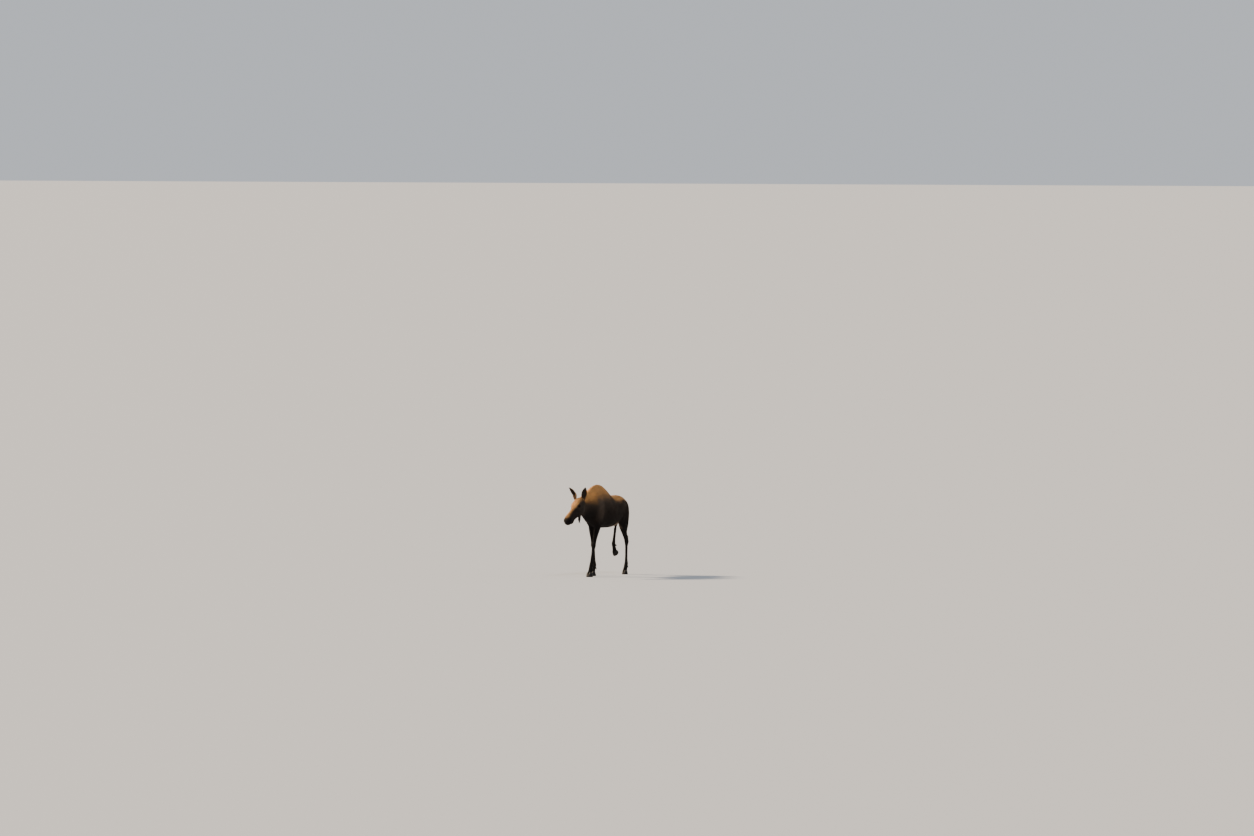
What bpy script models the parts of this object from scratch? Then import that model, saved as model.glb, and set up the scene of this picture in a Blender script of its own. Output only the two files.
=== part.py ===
"""A cow moose at life size, wading: left fore foot forward, right hind foot lifted, head low.

She faces -Y and her left side is +X. The flesh is lofted whole, from sections through the
trunk, neck, head and legs, and is then parted into named pieces by thin cuts. Ears, eyes,
claws and dewclaws are bodies of their own that meet the flesh across the same thin gap.
"""

import math
from collections import namedtuple

import bmesh
import bpy
from mathutils import Matrix, Vector

GAP = 0.0003            # between neighbouring pieces
VOXEL = 0.009           # grain of the mesh in which the lofts become one body
BODY_TRIANGLES = 4250   # flesh, before it is parted
RING_POINTS = 32        # round a section of the body
STEPS = 4               # rings between two named sections

# Sections through trunk and neck, from the rump forward. top and bottom are (y, z) on the
# midline, shift is how far the section lies to her left, widest is the share of the height
# at which it is widest. crown and keel say how full the upper and lower halves are: 2 is
# an ellipse, less is leaner and more is squarer.
Section = namedtuple("Section", "top bottom shift half_width widest crown keel")
TRUNK = (
    Section((0.738, 1.350), (0.742, 1.200), 0, 0.050, 0.50, 2.0, 2.0),    # buttocks
    Section((0.715, 1.430), (0.715, 1.100), 0, 0.100, 0.50, 2.0, 2.0),
    Section((0.650, 1.500), (0.650, 1.040), 0, 0.150, 0.50, 2.0, 2.0),    # tail head
    Section((0.535, 1.560), (0.535, 1.045), 0, 0.188, 0.55, 2.1, 2.0),    # croup
    Section((0.360, 1.590), (0.360, 1.030), 0, 0.220, 0.58, 2.2, 2.1),    # hips
    Section((0.180, 1.586), (0.180, 0.975), 0, 0.243, 0.45, 2.0, 2.2),    # loin
    Section((0.000, 1.612), (0.000, 0.952), 0, 0.262, 0.42, 1.9, 2.2),    # barrel
    Section((-0.130, 1.690), (-0.130, 0.950), 0, 0.264, 0.41, 1.75, 2.2),
    Section((-0.265, 1.782), (-0.260, 0.952), 0, 0.256, 0.40, 1.6, 2.2),  # behind the hump
    Section((-0.420, 1.824), (-0.400, 0.962), 0, 0.240, 0.40, 1.55, 2.1),  # hump
    Section((-0.570, 1.814), (-0.560, 0.980), 0, 0.220, 0.40, 1.55, 2.0),
    Section((-0.700, 1.776), (-0.740, 1.025), 0, 0.187, 0.42, 1.65, 2.0),  # breast
    Section((-0.820, 1.722), (-0.910, 1.110), -0.004, 0.146, 0.45, 1.8, 2.0),
    Section((-0.940, 1.664), (-1.020, 1.178), -0.012, 0.120, 0.48, 1.9, 2.0),  # neck
    Section((-1.060, 1.614), (-1.090, 1.225), -0.022, 0.105, 0.50, 2.0, 2.0),
    Section((-1.170, 1.580), (-1.150, 1.262), -0.032, 0.095, 0.52, 2.0, 2.0),
    Section((-1.250, 1.550), (-1.200, 1.320), -0.040, 0.078, 0.55, 2.0, 2.0),  # under the poll
)

# Muscles under the coat, on each side: middle (out, y, z), radii, and tilt in degrees.
BODY_MASSES = (
    ((0.150, -0.600, 1.330), (0.075, 0.150, 0.230), -16),   # shoulder
    ((0.112, -0.500, 1.500), (0.062, 0.125, 0.190), -14),   # blade
    ((0.118, 0.480, 1.300), (0.098, 0.190, 0.215), 18),     # haunch
    ((0.142, 0.330, 1.468), (0.068, 0.095, 0.075), 0),      # hip
)
# Rounds of smoothing, and the planes between trunk, legs and head.
BODY_ROUNDS = 26
HEAD_ROUNDS = 4
LEG_ROUNDS = 3
LEG_TOP = 0.92
HEAD_REAR = -1.08

# The head has its own frame: along runs from the poll to the nose, up is square to it.
POLL = Vector((-0.040, -1.238, 1.566))
HEAD_PITCH = math.radians(44.5)     # below level
HEAD_TURN = math.radians(13)        # to her right
HEAD_ROLL = math.radians(4)         # right side up
HeadSection = namedtuple("HeadSection", "along top bottom half_width widest crown keel")
SKULL = (
    HeadSection(-0.070, -0.050, -0.200, 0.066, 0.50, 2.0, 2.0),
    HeadSection(-0.028, -0.008, -0.240, 0.086, 0.55, 2.1, 2.0),  # poll
    HeadSection(0.028, 0.008, -0.255, 0.094, 0.60, 2.3, 2.0),    # crown
    HeadSection(0.084, 0.013, -0.255, 0.101, 0.66, 2.5, 2.0),    # forehead
    HeadSection(0.140, 0.009, -0.245, 0.107, 0.70, 2.7, 1.9),    # brows
    HeadSection(0.196, -0.006, -0.225, 0.098, 0.68, 2.3, 1.9),   # under the eyes
    HeadSection(0.260, -0.016, -0.202, 0.077, 0.60, 2.1, 2.0),
    HeadSection(0.325, -0.013, -0.184, 0.062, 0.55, 2.1, 2.1),   # bridge of the nose
    HeadSection(0.390, -0.003, -0.176, 0.057, 0.48, 2.2, 2.2),
    HeadSection(0.452, 0.004, -0.166, 0.064, 0.42, 2.4, 2.3),
    HeadSection(0.502, 0.002, -0.172, 0.073, 0.42, 2.5, 2.4),    # nostrils
    HeadSection(0.545, -0.012, -0.173, 0.075, 0.44, 2.6, 2.4),
    HeadSection(0.583, -0.038, -0.164, 0.065, 0.46, 2.4, 2.3),   # upper lip
    HeadSection(0.607, -0.070, -0.138, 0.040, 0.50, 2.0, 2.0),
)
JAW = (
    HeadSection(0.030, -0.150, -0.255, 0.060, 0.60, 2.0, 2.0),
    HeadSection(0.085, -0.120, -0.293, 0.080, 0.60, 2.0, 2.0),   # angle of the jaw
    HeadSection(0.150, -0.110, -0.292, 0.080, 0.60, 2.0, 2.0),
    HeadSection(0.235, -0.110, -0.262, 0.066, 0.60, 2.0, 2.0),
    HeadSection(0.325, -0.115, -0.232, 0.050, 0.60, 2.0, 2.0),
    HeadSection(0.400, -0.125, -0.214, 0.041, 0.55, 2.0, 2.0),
    HeadSection(0.455, -0.130, -0.220, 0.044, 0.50, 2.2, 2.0),   # chin
    HeadSection(0.500, -0.145, -0.216, 0.040, 0.50, 2.2, 2.0),
    HeadSection(0.526, -0.160, -0.200, 0.022, 0.50, 2.0, 2.0),
)

# Swellings of the head, on each side: middle and radii in the head's frame.
HEAD_MASSES = (
    ((0.128, 0.084, -0.030), (0.050, 0.022, 0.019)),    # brow
    ((0.150, 0.062, -0.195), (0.090, 0.034, 0.075)),    # jaw muscle
    ((0.235, 0.060, -0.085), (0.090, 0.022, 0.026)),    # cheek bone
    ((0.545, 0.046, -0.066), (0.040, 0.032, 0.038)),    # rim of the nostril
)

EYE_RADIUS = 0.0225
EYE_PLACE = (0.158, 0.091, -0.062)      # along, out, up in the head's frame
EYE_SEGMENTS = 12
EYE_RINGS = 8

EAR_LENGTH = 0.282
EAR_HALF_WIDTH = 0.058
EAR_WALL = 0.0110
EAR_OPENING = (168, 160, 118, 76, 58, 54, 54, 54, 54)   # degrees from the back to a rim, root to tip
EAR_WIDEST = 0.52       # share of its length at which the ear is widest
EAR_ROOT = 0.40         # width of the root, as a share of the widest
EAR_ARCH = 0.030        # how far the ear bends back in its middle
EAR_COLUMNS = 7
Ear = namedtuple("Ear", "base tip facing")
EARS = {
    # base in the head's frame (along, out, up); tip and facing are directions in the world
    "left": Ear((0.003, 0.084, -0.081), (0.16, 0.10, 0.97), (0.55, -0.83, 0.05)),
    "right": Ear((0.006, -0.071, -0.028), (-0.49, -0.12, 0.87), (-0.42, -0.88, -0.28)),
}

BELL_LENGTH = 0.128         # below the throat
BELL_DEPTH = 0.045          # from its root inside the throat to where it leaves it
BELL_ROOT = (0.220, -0.256)             # along, up in the head's frame
BELL_HALF_LENGTH = 0.052                # fore and aft
BELL_HALF_WIDTH = 0.027
BELL_TAPER = (1.0, 0.98, 0.92, 0.80, 0.58, 0.22)

FOOT_HEIGHT = 0.215     # from the middle of the fetlock to the sole

TAIL_ROOT = Vector((0, 0.660, 1.476))
TAIL_TIP = Vector((0, 0.759, 1.318))
TAIL_GIRTHS = ((0.0, 0.034, 0.018), (0.4, 0.036, 0.025), (0.8, 0.028, 0.020), (1.0, 0.010, 0.008))

# Where each joint of a leg lies. Depth runs fore and aft, width across.
Limb = namedtuple("Limb", "top bend middle fetlock heading flexed")
LIMBS = {
    "fore_left": Limb(
        (0.140, -0.640, 1.330), (0.120, -0.672, 1.045), (0.092, -0.790, 0.622),
        (0.088, -0.905, FOOT_HEIGHT), math.radians(3), 0),
    "fore_right": Limb(
        (-0.145, -0.590, 1.330), (-0.130, -0.440, 1.030), (-0.104, -0.420, 0.607),
        (-0.098, -0.372, FOOT_HEIGHT), math.radians(-3), 0),
    "hind_left": Limb(
        (0.110, 0.480, 1.330), (0.148, 0.345, 1.060), (0.108, 0.655, 0.655),
        (0.096, 0.668, FOOT_HEIGHT), math.radians(4), 0),
    "hind_right": Limb(
        (-0.110, 0.460, 1.330), (-0.150, 0.240, 1.130), (-0.118, 0.640, 1.035),
        (-0.114, 0.522, 0.612), math.radians(-4), math.radians(42)),
}
# Girths along each stretch of a leg: share of its length, half width, half depth, set back.
UPPER_ARM = ((-0.1, 0.050, 0.110, 0), (0.3, 0.070, 0.140, 0), (0.7, 0.074, 0.135, 0), (1.1, 0.060, 0.090, 0.01))
FOREARM = (
    (-0.12, 0.050, 0.075, 0.012), (0.0, 0.064, 0.094, 0.012), (0.2, 0.060, 0.082, 0.006),
    (0.45, 0.049, 0.062, 0), (0.7, 0.039, 0.048, 0), (0.86, 0.037, 0.043, 0),
    (0.97, 0.043, 0.047, -0.003), (1.06, 0.041, 0.044, 0))
FORE_CANNON = (
    (-0.06, 0.041, 0.043, 0), (0.03, 0.043, 0.046, 0), (0.12, 0.036, 0.040, 0.003), (0.25, 0.029, 0.036, 0.003),
    (0.55, 0.027, 0.034, 0.002), (0.82, 0.029, 0.036, 0.002), (1.0, 0.037, 0.042, 0.003), (1.06, 0.032, 0.036, 0))
THIGH = (
    (-0.25, 0.060, 0.120, 0.02), (0.0, 0.090, 0.175, 0.02), (0.35, 0.098, 0.185, 0.03),
    (0.7, 0.090, 0.150, 0.03), (1.0, 0.072, 0.100, 0.01), (1.15, 0.050, 0.060, 0.01))
GASKIN = (
    (-0.10, 0.050, 0.075, 0.010), (0.05, 0.068, 0.108, 0.014), (0.25, 0.064, 0.104, 0.018),
    (0.5, 0.051, 0.074, 0.012), (0.72, 0.040, 0.058, 0.010), (0.88, 0.036, 0.052, 0.008), (1.02, 0.042, 0.052, 0.006))
HIND_CANNON = (
    (-0.08, 0.036, 0.046, 0.010), (0.03, 0.039, 0.052, 0.010), (0.13, 0.031, 0.042, 0.006), (0.25, 0.025, 0.034, 0.003),
    (0.55, 0.024, 0.032, 0.002), (0.82, 0.027, 0.035, 0.002), (1.0, 0.036, 0.042, 0.003), (1.06, 0.031, 0.036, 0))
HAMSTRING = (
    (-0.25, 0.045, 0.060, 0), (0.0, 0.066, 0.095, 0), (0.5, 0.062, 0.104, 0), (0.85, 0.046, 0.076, 0), (1.1, 0.03, 0.04, 0))
BUTTOCK = (0.106, 0.628, 1.250)     # where the hamstring starts, on the left
HAMSTRING_END = 0.58                # share of the gaskin's length at which it ends
POINT_OF_HOCK = 0.100       # from the hock's middle to the tip of the heel bone
HOCK_TENDON_END = 0.52      # share of the gaskin's length at which the tendon joins it

# The foot hangs from the fetlock: forward and down to the coronet, then the claws.
CORONET = (0.060, 0.128)    # forward of the fetlock and below it
PASTERN = ((-0.15, 0.034, 0.038), (0.15, 0.037, 0.041), (0.5, 0.036, 0.038), (0.8, 0.041, 0.041), (1.05, 0.043, 0.036))
CLAW_LENGTH = 0.138
CLAW_ROWS = 6
CLAW_HEIGHTS = (0.064, 0.096, 0.108, 0.072, 0.020)      # evenly from heel to toe
CLAW_WIDTHS = (0.046, 0.055, 0.058, 0.048, 0.017)
HIND_CLAW_SIZE = 0.88       # of the fore claws', in length and width
CLAW_SPREAD = 0.003         # half the cleft between the two claws at the heels
CLAW_HEEL = 0.016           # heel, forward of the fetlock
DEWCLAW_LENGTH = 0.046
DEWCLAW_HALF_WIDTH = 0.013
SKELETON_DENSITY = 4        # rings between two girths of a leg

# Where the flesh is parted: a point of the cut and the way it faces, or a box round a leg.
HEAD_CUT = ((0, -1.155, 1.410), (0, 0.957, 0.289))
NECK_CUT = ((0, -0.760, 1.440), (0, 0.964, -0.267))
LEG_BOXES = {
    "fore_left": ((0.030, -1.30, -0.2), (0.5, -0.515, 1.080)),
    "fore_right": ((-0.5, -0.640, -0.2), (-0.030, -0.270, 1.080)),
    "hind_left": ((GAP / 2, 0.205, -0.2), (0.5, 0.95, 1.160)),
    "hind_right": ((-0.5, 0.130, 0.2), (0.010, 0.95, 1.200)),
}
CANNON_CUT = {"fore": 0.060, "hind": 0.125}     # below the middle of the knee or hock

COLOURS = {
    "coat": (0.085, 0.052, 0.034),
    "ear": (0.30, 0.20, 0.12),
    "eye": (0.012, 0.009, 0.008),
    "horn": (0.030, 0.024, 0.020),
}
ROUGHNESS = {"coat": 0.85, "ear": 0.85, "eye": 0.12, "horn": 0.45}


# ---------------------------------------------------------------- tools

def clear_scene():
    for thing in list(bpy.data.objects):
        bpy.data.objects.remove(thing, do_unlink=True)


def finish_material(finish):
    """One Principled material for each finish, made when it is first asked for."""
    name = "moose_" + finish
    if name in bpy.data.materials:
        return bpy.data.materials[name]
    material = bpy.data.materials.new(name)
    material.use_nodes = True
    shader = material.node_tree.nodes["Principled BSDF"]
    shader.inputs["Base Color"].default_value = (*COLOURS[finish], 1)
    shader.inputs["Roughness"].default_value = ROUGHNESS[finish]
    shader.inputs["Metallic"].default_value = 0
    return material


def new_object(name, bm):
    """Turns a bmesh into an object and frees it."""
    mesh = bpy.data.meshes.new(name)
    bm.to_mesh(mesh)
    bm.free()
    thing = bpy.data.objects.new(name, mesh)
    bpy.context.scene.collection.objects.link(thing)
    return thing


def discard(thing):
    mesh = thing.data
    bpy.data.objects.remove(thing, do_unlink=True)
    bpy.data.meshes.remove(mesh)


def apply_modifiers(thing):
    """Replaces an object's mesh by its evaluated one and drops the modifiers."""
    bpy.context.view_layer.update()
    graph = bpy.context.evaluated_depsgraph_get()
    mesh = bpy.data.meshes.new_from_object(thing.evaluated_get(graph))
    old = thing.data
    thing.modifiers.clear()
    thing.data = mesh
    bpy.data.meshes.remove(old)


def boolean(thing, cutter, operation):
    modifier = thing.modifiers.new("cut", "BOOLEAN")
    modifier.operation = operation
    modifier.object = cutter
    modifier.solver = "EXACT"
    apply_modifiers(thing)


def copy_of(thing, name):
    twin = bpy.data.objects.new(name, thing.data.copy())
    bpy.context.scene.collection.objects.link(twin)
    return twin


def grown(thing, amount):
    """A copy whose surface lies further out by the given amount."""
    twin = copy_of(thing, thing.name + "_grown")
    bm = bmesh.new()
    bm.from_mesh(twin.data)
    bm.normal_update()
    offsets = [vertex.normal * amount for vertex in bm.verts]
    for vertex, offset in zip(bm.verts, offsets):
        vertex.co += offset
    bm.to_mesh(twin.data)
    bm.free()
    return twin


def cut_back(thing, neighbour):
    """Takes from a piece all that its neighbour fills, and the gap as well."""
    cutter = grown(neighbour, GAP)
    boolean(thing, cutter, "DIFFERENCE")
    discard(cutter)


def between(values, share):
    """A smooth curve through the values, read at a share of its length."""
    last = len(values) - 1
    place = min(max(share * last, 0), last)
    left = min(int(place), last - 1)
    t = place - left
    a, b, c, d = (values[min(max(left + step, 0), last)] for step in (-1, 0, 1, 2))
    return b + 0.5 * t * (c - a + t * (2 * a - 5 * b + 4 * c - d + t * (3 * (b - c) + d - a)))


def thicken(rows, steps):
    """Rows of numbers, with smooth rows added between them."""
    columns = list(zip(*rows))
    count = (len(rows) - 1) * steps
    return [[between(column, k / count) for column in columns] for k in range(count + 1)]


def oval(centre, side, up, half_width, above, below, crown, keel, points):
    """A closed section: half_width to each side, above and below its centre."""
    ring = []
    for k in range(points):
        angle = math.tau * k / points
        across = math.cos(angle)
        height = math.sin(angle)
        fullness = crown if height > 0 else keel
        reach = above if height > 0 else below
        x = math.copysign(abs(across) ** (2 / fullness), across) * half_width
        z = math.copysign(abs(height) ** (2 / fullness), height) * reach
        ring.append(centre + side * x + up * z)
    return ring


def loft(bm, rings):
    """Skins a row of rings and caps both ends."""
    loops = [[bm.verts.new(point) for point in ring] for ring in rings]
    count = len(loops[0])
    for near, far in zip(loops, loops[1:]):
        for k in range(count):
            after = (k + 1) % count
            bm.faces.new((near[k], near[after], far[after], far[k]))
    bm.faces.new(reversed(loops[0]))
    bm.faces.new(loops[-1])


# ---------------------------------------------------------------- frames

def head_frame():
    """Columns: along the head, out to her left, up; the poll is its origin."""
    level = Vector((-math.sin(HEAD_TURN), -math.cos(HEAD_TURN), 0))
    along = level * math.cos(HEAD_PITCH) - Vector((0, 0, math.sin(HEAD_PITCH)))
    up = level * math.sin(HEAD_PITCH) + Vector((0, 0, math.cos(HEAD_PITCH)))
    out = up.cross(along)
    if out.x < 0:
        out.negate()
    roll = Matrix.Rotation(HEAD_ROLL, 3, along)
    turned = Matrix((along, roll @ out, roll @ up)).transposed().to_4x4()
    turned.translation = POLL
    return turned


HEAD = head_frame()


def in_head(along, out, up):
    return HEAD @ Vector((along, out, up))


def foot_frame(limb):
    """Columns: forward, out to her left, up; the fetlock is its origin."""
    turn = Matrix.Rotation(limb.heading, 3, "Z")
    forward = turn @ Vector((0, -1, 0))
    side = turn @ Vector((1, 0, 0))
    up = Vector((0, 0, 1))
    flex = Matrix.Rotation(limb.flexed, 3, side)
    frame = Matrix((flex @ forward, side, flex @ up)).transposed().to_4x4()
    frame.translation = Vector(limb.fetlock)
    return frame


# ---------------------------------------------------------------- flesh

def trunk_and_neck(bm):
    rows = thicken([(*s.top, *s.bottom, *s[2:]) for s in TRUNK], STEPS)
    rings = []
    for top_y, top_z, bottom_y, bottom_z, shift, half_width, widest, crown, keel in rows:
        top = Vector((shift, top_y, top_z))
        bottom = Vector((shift, bottom_y, bottom_z))
        height = (top - bottom).length
        up = (top - bottom) / height
        centre = bottom + up * height * widest
        above = height * (1 - widest)
        below = height * widest
        rings.append(oval(centre, Vector((1, 0, 0)), up, half_width, above, below, crown, keel, RING_POINTS))
    loft(bm, rings)


def head_loft(bm, sections):
    out = (HEAD.to_3x3() @ Vector((0, 1, 0)))
    up = (HEAD.to_3x3() @ Vector((0, 0, 1)))
    rings = []
    for along, top, bottom, half_width, widest, crown, keel in thicken(sections, STEPS):
        middle = bottom + (top - bottom) * widest
        centre = in_head(along, 0, middle)
        rings.append(oval(centre, out, up, half_width, top - middle, middle - bottom, crown, keel, RING_POINTS))
    loft(bm, rings)


def stretch(bm, start, end, girths):
    """A stretch of a leg from start to end. Depth lies in the leg's own plane."""
    start = Vector(start)
    end = Vector(end)
    run = end - start
    axis = run.normalized()
    side = (Vector((1, 0, 0)) - axis * axis.x).normalized()
    back = side.cross(axis)
    if back.y < 0 and abs(axis.y) < 0.9:
        back.negate()
    rings = []
    for share, half_width, half_depth, set_back in thicken([(*g, 0)[:4] for g in girths], SKELETON_DENSITY):
        centre = start + run * share + back * set_back
        rings.append(oval(centre, side, back, half_width, half_depth, half_depth, 2.1, 2.1, RING_POINTS))
    loft(bm, rings)


def heel_bone(bm, limb):
    """The point of the hock and the tendon that runs from it up the gaskin."""
    hock = Vector(limb.middle)
    gaskin = (hock - Vector(limb.bend)).normalized()
    cannon = (Vector(limb.fetlock) - hock).normalized()
    behind = (gaskin - cannon).normalized()
    upward = -cannon
    tip = hock + (behind * 0.75 + upward * 0.65).normalized() * POINT_OF_HOCK
    foot = hock + cannon * 0.05
    bone = ((-0.1, 0.026, 0.030, 0), (0.4, 0.027, 0.031, 0), (0.85, 0.023, 0.025, 0), (1.08, 0.012, 0.014, 0))
    stretch(bm, foot, tip, bone)
    tendon_top = hock.lerp(Vector(limb.bend), HOCK_TENDON_END)
    tendon = ((-0.06, 0.012, 0.016, 0), (0.05, 0.019, 0.026, 0), (0.5, 0.022, 0.032, 0), (1.1, 0.030, 0.034, 0))
    stretch(bm, tip, tendon_top, tendon)
    web = ((-0.1, 0.016, 0.045, 0), (0.5, 0.018, 0.050, 0), (1.1, 0.014, 0.035, 0))
    stretch(bm, hock, tip.lerp(tendon_top, 0.45), web)


def leg(bm, name):
    limb = LIMBS[name]
    fore = name.startswith("fore")
    stretch(bm, limb.top, limb.bend, UPPER_ARM if fore else THIGH)
    stretch(bm, limb.bend, limb.middle, FOREARM if fore else GASKIN)
    stretch(bm, limb.middle, limb.fetlock, FORE_CANNON if fore else HIND_CANNON)
    if not fore:
        heel_bone(bm, limb)
        across, along, height = BUTTOCK
        start = Vector((math.copysign(across, limb.top[0]), along, height))
        stretch(bm, start, Vector(limb.bend).lerp(Vector(limb.middle), HAMSTRING_END), HAMSTRING)
    forward, down = CORONET
    stretch(bm, limb.fetlock, foot_frame(limb) @ Vector((forward, 0, -down)), PASTERN)


def flesh_mass(bm, frame, centre, radii, tilt=0):
    """An ellipsoid of muscle, tilted about the side-to-side axis."""
    matrix = frame @ Matrix.Translation(centre) @ Matrix.Rotation(tilt, 4, "X") @ Matrix.Diagonal((*radii, 1))
    bmesh.ops.create_uvsphere(bm, u_segments=24, v_segments=16, radius=1, matrix=matrix)


def smooth_flesh(bm, rounds, wanted):
    chosen = [vertex for vertex in bm.verts if wanted(vertex.co)]
    for _ in range(rounds):
        bmesh.ops.smooth_vert(bm, verts=chosen, factor=0.5, use_axis_x=True, use_axis_y=True, use_axis_z=True)


def make_flesh():
    bm = bmesh.new()
    trunk_and_neck(bm)
    head_loft(bm, SKULL)
    head_loft(bm, JAW)
    for name in LIMBS:
        leg(bm, name)
    for side in (1, -1):
        for (across, along, height), radii, tilt in BODY_MASSES:
            flesh_mass(bm, Matrix(), (side * across, along, height), radii, math.radians(tilt))
        for (along, out, up), radii in HEAD_MASSES:
            flesh_mass(bm, HEAD, (along, side * out, up), radii)
    body = new_object("flesh", bm)
    remesh = body.modifiers.new("one body", "REMESH")
    remesh.mode = "VOXEL"
    remesh.voxel_size = VOXEL
    remesh.use_smooth_shade = True
    apply_modifiers(body)
    bm = bmesh.new()
    bm.from_mesh(body.data)
    smooth_flesh(bm, BODY_ROUNDS, lambda p: p.z > LEG_TOP and p.y > HEAD_REAR)
    smooth_flesh(bm, HEAD_ROUNDS, lambda p: p.z > LEG_TOP and p.y <= HEAD_REAR)
    smooth_flesh(bm, LEG_ROUNDS, lambda p: p.z <= LEG_TOP)
    bm.to_mesh(body.data)
    bm.free()
    thin = body.modifiers.new("fewer faces", "DECIMATE")
    thin.ratio = BODY_TRIANGLES / sum(len(face.vertices) - 2 for face in body.data.polygons)
    thin.use_collapse_triangulate = True
    apply_modifiers(body)
    return body


# ---------------------------------------------------------------- pieces of their own

def make_eye(side):
    along, out, up = EYE_PLACE
    sign = 1 if side == "left" else -1
    matrix = Matrix.Translation(in_head(along, sign * out, up)) @ HEAD.to_3x3().to_4x4()
    bm = bmesh.new()
    bmesh.ops.create_uvsphere(bm, u_segments=EYE_SEGMENTS, v_segments=EYE_RINGS, radius=EYE_RADIUS, matrix=matrix)
    return new_object("eye_" + side, bm)


def ear_point(ear_axes, row, column, inner):
    """A point of the ear's cup. row runs 0..1 from root to tip, column -1..1 from rim to rim."""
    base, tip, facing, side = ear_axes
    swell = math.sin(math.pi / 2 * min(row / EAR_WIDEST, 1))
    half_width = EAR_HALF_WIDTH * (EAR_ROOT + (1 - EAR_ROOT) * swell)
    if row > EAR_WIDEST:
        half_width *= max(1 - ((row - EAR_WIDEST) / (1 - EAR_WIDEST)) ** 2.1, 0.03)
    half_angle = math.radians(between(EAR_OPENING, row))
    widest_angle = min(half_angle, math.pi / 2)
    radius = half_width / math.sin(widest_angle)
    wall = EAR_WALL * (1 - 0.45 * column * column) * (1 - 0.35 * row)
    turn = column * half_angle
    reach = radius - min(wall, radius * 0.6) * inner
    lean_back = EAR_ARCH * math.sin(math.pi * row)
    centre = base + tip * EAR_LENGTH * row + facing * (radius * math.cos(widest_angle) - lean_back)
    return centre + side * math.sin(turn) * reach - facing * math.cos(turn) * reach


def make_ear(side):
    """A cupped leaf: a tube at the root that opens into a wide cup and ends in a tip."""
    ear = EARS[side]
    tip = Vector(ear.tip).normalized()
    facing = Vector(ear.facing)
    facing = (facing - tip * facing.dot(tip)).normalized()
    axes = (in_head(*ear.base), tip, facing, tip.cross(facing))
    bm = bmesh.new()
    sheets = []
    for inner in (0, 1):
        sheet = []
        for i in range(len(EAR_OPENING)):
            row = i / (len(EAR_OPENING) - 1)
            columns = [2 * j / (EAR_COLUMNS - 1) - 1 for j in range(EAR_COLUMNS)]
            sheet.append([bm.verts.new(ear_point(axes, row, column, inner)) for column in columns])
        sheets.append(sheet)
    for sheet in sheets:
        for near, far in zip(sheet, sheet[1:]):
            for j in range(EAR_COLUMNS - 1):
                bm.faces.new((near[j], near[j + 1], far[j + 1], far[j]))
    outer, inner = (rim_of(sheet) for sheet in sheets)
    for k in range(len(outer)):
        after = (k + 1) % len(outer)
        bm.faces.new((outer[k], outer[after], inner[after], inner[k]))
    bmesh.ops.recalc_face_normals(bm, faces=bm.faces)
    return new_object("ear_" + side, bm)


def rim_of(sheet):
    """The points round the edge of a grid, in order."""
    right = [row[-1] for row in sheet[1:-1]]
    left = [row[0] for row in sheet[1:-1]]
    return sheet[0] + right + sheet[-1][::-1] + left[::-1]


def make_bell():
    """The flap of skin and hair under the throat, flat from side to side."""
    along, up = BELL_ROOT
    root = in_head(along, 0, up) + Vector((0, 0, BELL_DEPTH))
    rings = []
    steps = 9
    for k in range(steps):
        share = k / (steps - 1)
        swell = between(BELL_TAPER, share)
        length = BELL_HALF_LENGTH * swell
        middle = root - Vector((0, 0, (BELL_LENGTH + BELL_DEPTH) * share))
        rings.append(oval(
            middle, Vector((1, 0, 0)), Vector((0, 1, 0)), BELL_HALF_WIDTH * swell, length, length, 2, 2, 12))
    bm = bmesh.new()
    loft(bm, rings)
    bmesh.ops.recalc_face_normals(bm, faces=bm.faces)
    return new_object("bell", bm)


def make_tail():
    bm = bmesh.new()
    run = TAIL_TIP - TAIL_ROOT
    axis = run.normalized()
    back = Vector((1, 0, 0)).cross(axis)
    rings = []
    for share, half_width, half_depth in thicken(TAIL_GIRTHS, 2):
        rings.append(oval(
            TAIL_ROOT + run * share, Vector((1, 0, 0)), back, half_width, half_depth, half_depth, 2, 2, 12))
    loft(bm, rings)
    bmesh.ops.recalc_face_normals(bm, faces=bm.faces)
    return new_object("tail", bm)


def claw_ring(share):
    """One section of a claw, (out, up) from the cleft's foot, with share 0 at the heel."""
    width = between(CLAW_WIDTHS, share)
    height = between(CLAW_HEIGHTS, share)
    return (
        (0, 0), (width * 0.5, 0), (width, 0), (width * 1.01, height * 0.12), (width * 0.92, height * 0.55),
        (width * 0.70, height * 0.90), (width * 0.35, height), (0, height * 0.88))


def make_claw(name, side):
    """Half of the cloven hoof, with a flat sole, a straight cleft side and a rounded wall."""
    frame = foot_frame(LIMBS[name])
    sign = 1 if side == "left" else -1
    size = 1 if name.startswith("fore") else HIND_CLAW_SIZE
    rings = []
    for k in range(CLAW_ROWS):
        share = k / (CLAW_ROWS - 1)
        cleft = CLAW_SPREAD * (1 + 1.4 * math.sin(math.pi * share))
        forward = CLAW_HEEL + CLAW_LENGTH * size * share
        rings.append([
            frame @ Vector((forward, sign * (cleft + out * size), up - FOOT_HEIGHT))
            for out, up in claw_ring(share)])
    bm = bmesh.new()
    loft(bm, rings)
    bmesh.ops.recalc_face_normals(bm, faces=bm.faces)
    return new_object(horn_name("claw", name, side), bm)


def horn_name(kind, limb, side):
    """The claw on the limb's own side is the outer one."""
    return f"{kind}_{limb}_{'outer' if limb.endswith(side) else 'inner'}"


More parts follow.
